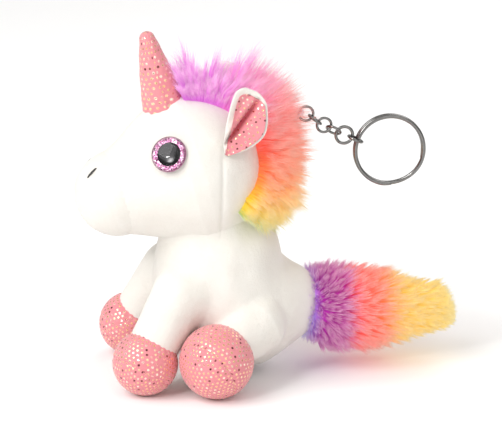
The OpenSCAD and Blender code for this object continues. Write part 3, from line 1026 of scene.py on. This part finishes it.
def ears():
    for side in (LEFT, RIGHT):
        word = side_word(side)
        for name, sizes, cloth, slot, node in (
            ("back", (0, 0, 1.15, 0.0, 0.5), PLUSH, "white_plush", "outer"),
            ("front", (1.7, 0.9, 0.35, 1.0, 0.6), EAR_CLOTH, "pink_foil_fabric", "lining"),
        ):
            points, faces, flat, crease = ear_sheet(side, *sizes)
            made = piece(f"{word}_ear_{name}", points, faces, cloth, slot, cloth=flat)
            # The painted shade of the fold, which only the lining's material reads
            point_values(made, crease=crease)
            weld(made)
            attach(made, f"{word}_ear")
            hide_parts(f"{word}_ear_{node}")


# ---- Fur ----

def tufts_of(roots, rng, each):
    """Which tuft each hair belongs to: the nearest of some roots taken at random."""
    seeds = roots[rng.choice(len(roots), max(1, len(roots) // each), replace=False)]
    away = (roots**2).sum(1)[:, None] - 2 * roots @ seeds.T + (seeds**2).sum(1)[None]
    return away.argmin(1), seeds


def hairs(roots, outs, flows, reach, band, seed, thick=0.11, clump=26, curl=1.0, wild=1.2, knots=5):
    """Points, faces and attributes of tapered hairs that gather into tufts."""
    rng = np.random.default_rng(seed)
    count = len(roots)
    tuft, seeds = tufts_of(roots, rng, clump)
    groups = len(seeds)
    bend = rng.normal(0, 1, (groups, 3))[tuft]
    own = rng.normal(0, 1, (count, 3))
    tuft_length = rng.uniform(0.76, 1.04, groups) * np.where(rng.random(groups) < 0.1, wild, 1)
    long = reach * tuft_length[tuft] * rng.uniform(0.75, 1.06, count)
    gather = rng.uniform(0.35, 0.8, groups)[tuft]
    heading = unit(outs)
    s = np.linspace(0, 1, knots)
    straight = heading[:, None] * (1.25 * s - 0.25 * s**2)[None, :, None]
    swept = flows[:, None] * (s**1.7)[None, :, None]
    bent = 0.1 * curl * bend[:, None] * (s**2)[None, :, None]
    stray = 0.06 * curl * own[:, None] * (s**1.4)[None, :, None]
    path = roots[:, None] + long[:, None, None] * (straight + swept + bent + stray)
    path = path + (gather[:, None] * s[None] ** 1.5)[..., None] * (seeds[tuft] - roots)[:, None]
    first, second = across(heading)
    wave = np.sin(s[None] * 7 + rng.uniform(0, 2 * math.pi, count)[:, None]) * s[None] * 0.3 * curl
    path = path + wave[..., None] * first[:, None]
    fat = thick * rng.uniform(0.75, 1.3, count)[:, None] * (1 - 0.82 * s[None] ** 1.6)
    ring = around(round_angles(3), first[:, None], second[:, None])
    body = path[:, :-1, None] + fat[:, :-1, None, None] * ring[:, None]
    points = np.concatenate([body.reshape(count, -1, 3), path[:, -1:]], 1)
    each = points.shape[1]
    last = 3 * (knots - 2)
    tips = [(last + i, last + (i + 1) % 3, each - 1) for i in range(3)]
    along = np.concatenate([np.repeat(s[:-1], 3), s[-1:]])
    return {
        "points": points.reshape(-1, 3), "quads": np.array(grid_faces(knots - 1, 3)),
        "tips": np.array(tips), "each": each, "count": count, "along": np.tile(along, count),
        "band": np.repeat(band, each), "shade": np.repeat(rng.uniform(0, 1, count), each),
    }


def fur_piece(name, made, material, body):
    """A mesh of many hairs, built straight into its arrays."""
    start = (np.arange(made["count"]) * made["each"])[:, None, None]
    quads = (made["quads"][None] + start).reshape(-1, 4)
    tips = (made["tips"][None] + start).reshape(-1, 3)
    mesh = bpy.data.meshes.new(name)
    mesh.vertices.add(len(made["points"]))
    mesh.vertices.foreach_set("co", (made["points"] * MM).astype(np.float32).ravel())
    mesh.loops.add(quads.size + tips.size)
    mesh.loops.foreach_set("vertex_index", np.concatenate([quads.ravel(), tips.ravel()]))
    mesh.polygons.add(len(quads) + len(tips))
    starts = np.concatenate([4 * np.arange(len(quads)), quads.size + 3 * np.arange(len(tips))])
    mesh.polygons.foreach_set("loop_start", starts)
    mesh.polygons.foreach_set("use_smooth", np.ones(len(starts), bool))
    mesh.update()
    mesh.validate()
    mesh.materials.append(material)
    result = bpy.data.objects.new(name, mesh)
    bpy.context.scene.collection.objects.link(result)
    point_values(result, **{key: made[key] for key in ("band", "along", "shade")})
    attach(result, body)
    return result


def under_fur(name, points, faces, band, material, body, nodes):
    """The dense inner fur, a soft lumpy surface in the same dye."""
    made = piece(name, points, faces, material, "rainbow_fur")
    point_values(made, band=band, along=np.full(len(points), 0.2), shade=np.zeros(len(points)))
    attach(made, body)
    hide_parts(*nodes)


MANE_FROM, MANE_TO = 97.0, -38.0
MANE_ZONES = ("forelock", "violet", "pink", "coral", "red", "orange", "yellow")

# How far the mane stands out from the head, by the angle up from straight back. The hairs sweep
# down, so that a tip lies this many degrees below its root.
MANE_DROOP = 9
MANE_ANGLES = (-45, -34, -25, -13, 0, 10, 25, 34, 48, 60, 73, 83, 90, 97)
MANE_HEIGHTS = (10, 12, 13.5, 13, 13, 14, 17, 18.5, 16.5, 12, 9.2, 8.8, 10, 10.5)


def mane_width(share):
    """Half the width of the mane's strip, from the forelock (0) to the nape (1)."""
    return np.minimum(5 + 18.5 * np.clip(share, 0, 1) ** 1.5, 19.4)


def mane_place(share, sideways):
    """Point on the head and outward direction, sideways from -1 to 1."""
    angle = np.radians(mane_angle(share))
    lean = np.arcsin(np.clip(mane_width(share) * sideways / HEAD_R, -1, 1))
    out = np.stack([np.sin(lean), np.cos(lean) * np.cos(angle), np.cos(lean) * np.sin(angle)], -1)
    return SKULL + out * (HEAD_R - 0.6), out


def mane_angle(share):
    """Angle round the head, in degrees up from straight back."""
    return MANE_FROM + (MANE_TO - MANE_FROM) * share


def mane(hair_count):
    rng = np.random.default_rng(21)
    for zone, word in enumerate(MANE_ZONES):
        share = rng.uniform(zone, zone + 1, hair_count) / len(MANE_ZONES)
        sideways = rng.uniform(-1, 1, hair_count)
        roots, outs = mane_place(share, sideways)
        angle = mane_angle(share)
        tall = 1.1 * np.interp(angle - MANE_DROOP * np.clip(share * 3, 0, 1), MANE_ANGLES, MANE_HEIGHTS)
        tall = tall * (1 - 0.45 * np.abs(sideways) ** 1.6)
        turn = np.radians(angle)
        down = np.stack([np.zeros_like(turn), np.sin(turn), -np.cos(turn)], -1)
        sweep = np.interp(share, [0, 0.2, 0.5, 0.75, 1], [-0.3, 0.05, 0.22, 0.25, 0.12])
        fan = np.stack([sideways, np.zeros_like(turn), np.zeros_like(turn)], -1)
        flows = sweep[:, None] * down + 0.3 * fan
        band = share + rng.normal(0, 0.02, hair_count)
        made = hairs(roots, outs, flows, tall + 0.5, band, 31 + zone, wild=1.7 if zone < 2 else 1.2)
        fur_piece(f"mane_{word}", made, MANE_FUR, "head")

    rows, columns = 60, 24
    share, sideways = np.meshgrid(np.linspace(0, 1, rows), np.linspace(-1, 1, columns), indexing="ij")
    roots, outs = mane_place(share.ravel(), sideways.ravel())
    edge = np.sqrt(np.clip(1 - sideways.ravel() ** 2, 0, 1)) * np.sqrt(
        np.clip(1 - (2 * share.ravel() - 1) ** 8, 0, 1))
    lumps = 1 + 0.35 * waves(roots, 5, 5.0)
    top = roots + outs * (5.0 * edge * lumps)[:, None]
    bottom = roots - outs * 0.4
    faces = both_sides(grid_faces(rows, columns, closed=False), rows * columns)
    rim = rim_faces(rows, columns, rows * columns)
    under_fur("mane_under", np.concatenate([top, bottom]), faces + rim,
              np.tile(share.ravel(), 2), MANE_FUR, "head", ("mane_backing", "mane_pile"))


def rim_faces(rows, columns, below):
    """Quads that close the edge between two matching grids."""
    edge = [(0, c) for c in range(columns - 1)]
    edge += [(r, columns - 1) for r in range(rows - 1)]
    edge += [(rows - 1, c) for c in range(columns - 1, 0, -1)]
    edge += [(r, 0) for r in range(rows - 1, 0, -1)]
    index = [r * columns + c for r, c in edge]
    return [(b, a, a + below, b + below) for a, b in zip(index, index[1:] + index[:1])]


TAIL_LENGTH = 52.0
TAIL_ZONES = ("blue", "purple", "coral", "orange", "yellow")

# The hairs lean towards the tip, so each carries its dye this much further along
TAIL_BAND_SHIFT = 0.06

# The last hairs are rooted here, as a share of the length
TAIL_HAIR_END = 0.985


def tail_line(share):
    """Middle of the tail, from its root (0) to its tip (1), and its radius there."""
    y = TAIL_ROOT[1] + TAIL_LENGTH * share
    drop = through(share, [0, 0.2, 0.6, 0.88, 1], [0, 1.8, 3.2, 4.2, 7.5])
    radius = through(share, [0, 0.05, 0.12, 0.22, 0.32, 0.42, 0.52, 0.62, 0.77, 0.88, 0.95, 1],
                     [11, 14.4, 15.6, 15.8, 15.2, 13.6, 11.8, 10.2, 8.4, 5.8, 3.0, 1.0])
    return np.stack([np.zeros_like(y), y, TAIL_ROOT[2] - drop], -1), radius


def tail(hair_count):
    rng = np.random.default_rng(47)
    for zone, word in enumerate(TAIL_ZONES):
        share = rng.uniform(zone, zone + 1, hair_count) / len(TAIL_ZONES) * TAIL_HAIR_END
        turn = rng.uniform(0, 2 * math.pi, hair_count)
        centre, radius = tail_line(share)
        out = np.stack([np.cos(turn), np.zeros_like(turn), np.sin(turn)], -1)
        roots = centre + out * (radius * 0.6)[:, None]
        lean = np.interp(share, [0, 0.06, 0.2, 0.4, 1], [-0.35, 0.05, 0.45, 1.2, 2.2])
        out = out + np.array([0, 1.0, 0]) * lean[:, None]
        flows = np.array([0, 0.25, 0]) * np.clip(lean * 2, -1, 1)[:, None]
        band = share / TAIL_HAIR_END + rng.normal(0, 0.012, hair_count)
        band = band + TAIL_BAND_SHIFT * np.minimum(1, share * 5)
        made = hairs(roots, out, flows, radius * 0.46 * length(out), band, 61 + zone, curl=0.4, wild=0.7)
        fur_piece(f"tail_{word}", made, TAIL_FUR, "tail")

    rows, sides = 70, 60
    share = np.linspace(0, 1, rows)
    centre, radius = tail_line(share)
    rim = around(round_angles(sides), [1.0, 0, 0], [0, 0, 1.0])
    centre[:, 1] = TAIL_ROOT[1] + TAIL_LENGTH * 0.97 * share
    points = centre[:, None] + (radius * 0.72)[:, None, None] * rim[None]
    flat = points.reshape(-1, 3)
    flat = flat + (0.9 * waves(flat, 9, 5.0))[:, None] * np.tile(rim, (rows, 1))
    faces = [f[::-1] for f in grid_faces(rows, sides) + end_faces(rows, sides)]
    under_fur("tail_under", flat, faces, np.repeat(share, sides), TAIL_FUR, "tail",
              ("tail_backing", "tail_pile", "tail_filling"))


# ---- Hanging loop, chain and split ring ----

LOOP_END = np.array([0, 12.8, 89.8])


def hanging_loop():
    """Two twisted plies that come out of the head, turn in a small bend and go back in."""
    bend_r, ply_r, ply_apart, turns = 1.7, 0.27, 0.2, 17
    outward = unit(LOOP_END - SKULL)
    reach = np.linalg.norm(LOOP_END - SKULL) - bend_r
    heights = np.linspace(HEAD_R - 1, reach, 24)[:-1]
    bend = np.linspace(0, math.pi, 30)
    beside = np.full(len(heights), bend_r)
    up = np.concatenate([heights, reach + bend_r * np.sin(bend), heights[::-1]])
    beside = np.concatenate([beside, bend_r * np.cos(bend), -beside])
    path = SKULL + np.outer(up, outward) + np.outer(beside, [1.0, 0, 0])
    twist = np.linspace(0, 2 * math.pi * turns, len(path) * 6)
    places = np.linspace(0, len(path) - 1, len(twist))
    path = np.stack([np.interp(places, np.arange(len(path)), values) for values in path.T], 1)
    first, second = across(np.gradient(path, axis=0))
    plies = [
        tube(path + ply_apart * around(twist + start, first, second), ply_r, 8)
        for start in (0, math.pi)
    ]
    made = piece("loop_cord", *joined(plies), LOOP_CORD, "loop_ribbon")
    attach(made, "head")
    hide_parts("hanging_loop")


def chain():
    """Links of round wire in their solids' places, planes and sizes, butted where they close."""
    for name in (*(f"chain_link_{k}" for k in range(1, 5)), "jump_ring", "end_link"):
        co = np.array([v.co for v in frame["nodes"][name].data.vertices]) / MM
        centre = co.mean(0)
        offsets = co - centre
        first, second, normal = np.linalg.svd(offsets, full_matrices=False)[2]
        away = length(offsets - np.outer(offsets @ normal, normal))
        wire_r, radius = (away.max() - away.min()) / 2, (away.max() + away.min()) / 2
        butt = math.radians(70)
        angles = butt + np.linspace(0.02, 2 * math.pi - 0.02, 72)
        lift = wire_r * 0.22 * np.sin((angles - butt) / 2 + math.pi / 2)
        path = centre + radius * around(angles, first, second) + np.outer(lift, normal)
        made = piece(f"{name}_wire", *tube(path, wire_r * 0.97, 20), STEEL, "chain_steel")
        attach(made, name)
        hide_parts(name)


def split_ring():
    """Nearly two turns of wire side by side, with the step where they change over."""
    centre = np.array(frame_mount("split_ring"))
    ring_r, wire_r, pitch = 11.8, 0.7, 1.46
    start, end, count = 35, 685, 420
    step_start, step_end = 325, 395
    degrees = np.linspace(start, end, count)
    step = np.clip((degrees - step_start) / (step_end - step_start), 0, 1)
    sideways = -np.cos(math.pi * step) * pitch / 2
    ring = around(np.radians(degrees - 52), [0, 1.0, 0], [0, 0, 1.0])
    path = centre + ring_r * ring + np.outer(sideways, [1.0, 0, 0])
    from_end = np.minimum(np.arange(count), np.arange(count)[::-1])
    radius = wire_r * (0.62 + 0.38 * np.clip(from_end / 8, 0, 1))
    made = piece("split_ring_wire", *tube(path, radius, 20), STEEL, "chain_steel")
    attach(made, "split_ring")
    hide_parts("split_ring")


def frame_mount(name):
    mount = next(m for m in frame["record"]["mounts"] if m["name"] == name)
    return [v / MM for v in mount["pos_m"]]


# ---- Floor, light and camera ----

def studio():
    """A soft light room: bright above, dim at the horizon, so that metal shows its shape."""
    world = bpy.data.worlds.new("studio")
    world.use_nodes = True
    tree = world.node_tree
    heading = tree.nodes.new("ShaderNodeTexCoord").outputs["Generated"]
    split = tree.nodes.new("ShaderNodeSeparateXYZ")
    tree.links.new(heading, split.inputs[0])
    ramp = tree.nodes.new("ShaderNodeValToRGB")
    tree.links.new(split.outputs[2], ramp.inputs[0])
    low, high = ramp.color_ramp.elements
    low.position, low.color = 0.02, (0.48, 0.475, 0.47, 1)
    high.position, high.color = 0.5, (1.0, 0.985, 0.965, 1)
    background = tree.nodes["Background"]
    tree.links.new(ramp.outputs[0], background.inputs[0])
    background.inputs[1].default_value = 0.62
    bpy.context.scene.world = world


def catchlight_place(away):
    """Where a lamp must stand for the left eye to show it a little below its middle."""
    disc, facing = eye_place(LEFT)
    normal = Vector(unit(facing + [0, 0.03, -0.09]))
    return Vector(disc) * MM + (2 * normal.dot(away) * normal - away)


def stage(away):
    bpy.context.scene.view_settings.view_transform = "Standard"
    bpy.ops.mesh.primitive_plane_add(size=6)
    floor = bpy.context.object
    floor.name = "floor"
    n = Nodes("floor")
    tone = n.mix(n.noise(3, 2), rgb(252, 252, 252), rgb(248, 248, 248))
    floor.data.materials.append(n.set(Base_Color=tone, Roughness=0.9, Specular_IOR_Level=0.1))

    studio()
    aim = Vector((0, -0.005, 0.05))
    for name, place, size, power in (
        ("key", (0.35, -0.75, 0.85), 0.8, 8.0),
        ("side", (0.9, 0.3, 0.6), 0.9, 2.5),
        ("back", (-0.6, 0.5, 0.7), 0.6, 2.5),
        ("catchlight", catchlight_place(away), 0.13, 2.2),
    ):
        light = bpy.data.lights.new(name, "AREA")
        light.size, light.energy = size, power
        lamp = bpy.data.objects.new(name, light)
        lamp.location = place
        lamp.rotation_euler = (aim - Vector(place)).to_track_quat("-Z", "Y").to_euler()
        bpy.context.scene.collection.objects.link(lamp)


def view_direction(azimuth, elevation):
    """Towards the camera. Azimuth is measured from the front, towards the left side."""
    a, e = math.radians(azimuth), math.radians(elevation)
    return Vector((math.cos(e) * math.sin(a), -math.cos(e) * math.cos(a), math.sin(e)))


def camera(away, frame_width):
    aim = Vector((0, -4.9 * MM, 54.4 * MM))
    distance, sensor = 0.9, 36
    data = bpy.data.cameras.new("camera")
    data.sensor_width = sensor
    data.lens = sensor * distance / (frame_width * MM)
    data.clip_start = 0.01
    view = bpy.data.objects.new("camera", data)
    view.location = aim + distance * away
    view.rotation_euler = (-away).to_track_quat("-Z", "Y").to_euler()
    bpy.context.scene.collection.objects.link(view)
    bpy.context.scene.camera = view


# How much of the unicorn's plane the picture takes in
PICTURE_WIDTH = 170.2
SKIN_STEP = 0.62
HAIRS = 7000

towards_camera = view_direction(81, 16)
camera(towards_camera, PICTURE_WIDTH)
stage(towards_camera)
body_and_legs(SKIN_STEP)
belly_panel()
head(SKIN_STEP)
horn()
nostrils()
eyes()
ears()
mane(HAIRS)
tail(HAIRS)
hanging_loop()
chain()
split_ring()
